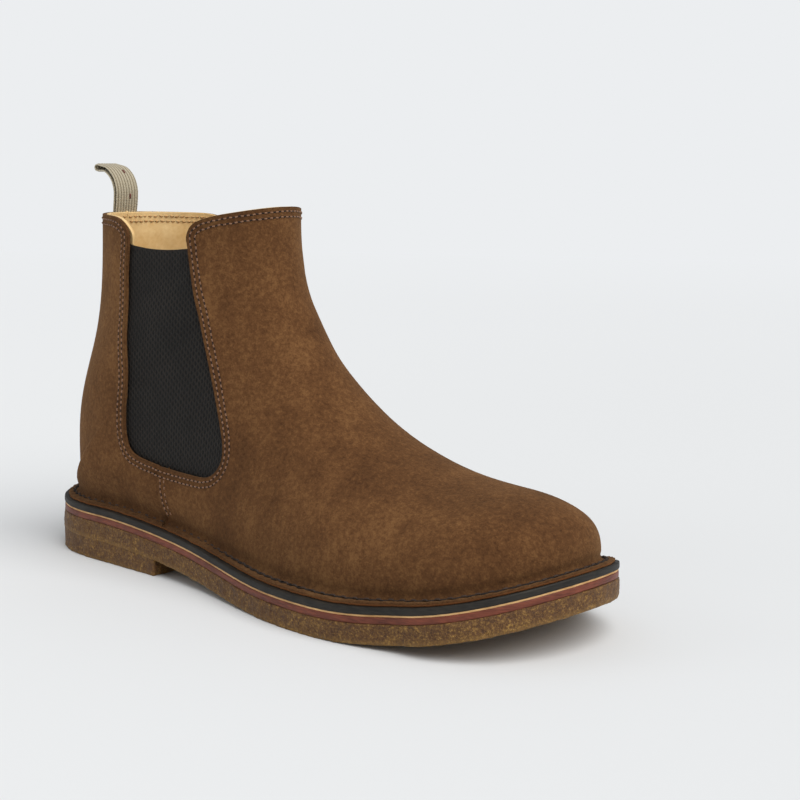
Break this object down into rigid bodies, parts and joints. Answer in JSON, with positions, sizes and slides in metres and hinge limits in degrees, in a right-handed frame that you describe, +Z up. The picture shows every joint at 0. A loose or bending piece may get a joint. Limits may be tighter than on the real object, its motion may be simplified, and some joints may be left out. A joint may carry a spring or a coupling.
{
  "type": "chelsea boot",
  "caption": "Ankle boot with elastic side gores, pull loop and stitchdown crepe sole; the forefoot flexes, the collar opens and the loop swings.",
  "frame": {"origin": "middle of the footprint's box, at floor level", "axes": "+X towards the toe, +Y towards the inner side of the foot, +Z up"},
  "size_m": [0.3034, 0.1144, 0.1856],
  "materials": {
    "brown_suede": "soft matt nap",
    "gore_elastic": "dark knitted elastic",
    "lining_leather": "smooth tan lining",
    "loop_webbing": "ribbed webbing",
    "dark_welt": "matt dark edge",
    "natural_leather": "pale cut edge",
    "red_leather": "red-brown waxed edge",
    "crepe_rubber": "mottled plantation crepe",
    "insole_fibre": "leather board",
    "sock_leather": "smooth tan",
    "stiffener": "thermoplastic sheet",
    "shank_steel": "tempered strip",
    "thread": "waxed thread"
  },
  "bodies": {
    "foot": {"vamp": "brown_suede", "gore_outer": "gore_elastic", "gore_inner": "gore_elastic", "vamp_lining": "lining_leather", "heel_counter": "stiffener", "welt_strip": "dark_welt", "natural_layer": "natural_leather", "leather_midsole": "red_leather", "crepe_outsole": "crepe_rubber", "heel_block": "crepe_rubber", "insole_board": "insole_fibre", "sock_liner": "sock_leather", "shank": "shank_steel", "vamp_stitching": "thread", "side_seam_stitching": "thread", "welt_stitching": "thread"},
    "toe": {"toe_puff": "stiffener"},
    "shaft_back": {"quarter_outer": "brown_suede", "quarter_inner": "brown_suede", "back_strip": "brown_suede", "quarter_lining": "lining_leather", "quarter_stitching": "thread", "pull_loop_tails": "loop_webbing"},
    "pull_loop": {"pull_loop": "loop_webbing"}
  },
  "joints": [
    {"name": "toe_flex", "type": "hinge", "parent": "foot", "child": "toe", "pos_m": [0.05134, 0.00281, 0.0155], "axis": [0, -1, 0], "range_deg": [0, 35], "stiffness_Nm_per_rad": 2, "deforming": ["vamp", "vamp_lining", "welt_strip", "natural_layer", "leather_midsole", "crepe_outsole", "insole_board", "sock_liner", "vamp_stitching", "welt_stitching"]},
    {"name": "collar_opening", "type": "hinge", "parent": "foot", "child": "shaft_back", "pos_m": [-0.14106, 0.00281, 0.075], "axis": [0, -1, 0], "range_deg": [0, 8], "stiffness_Nm_per_rad": 12, "deforming": ["quarter_outer", "quarter_inner", "back_strip", "quarter_lining", "quarter_stitching", "gore_outer", "gore_inner"]},
    {"name": "pull_loop_swing", "type": "hinge", "parent": "shaft_back", "child": "pull_loop", "pos_m": [-0.12563, 0.00281, 0.16385], "axis": [0, 1, 0], "range_deg": [-30, 60], "stiffness_Nm_per_rad": 0.05}
  ]
}
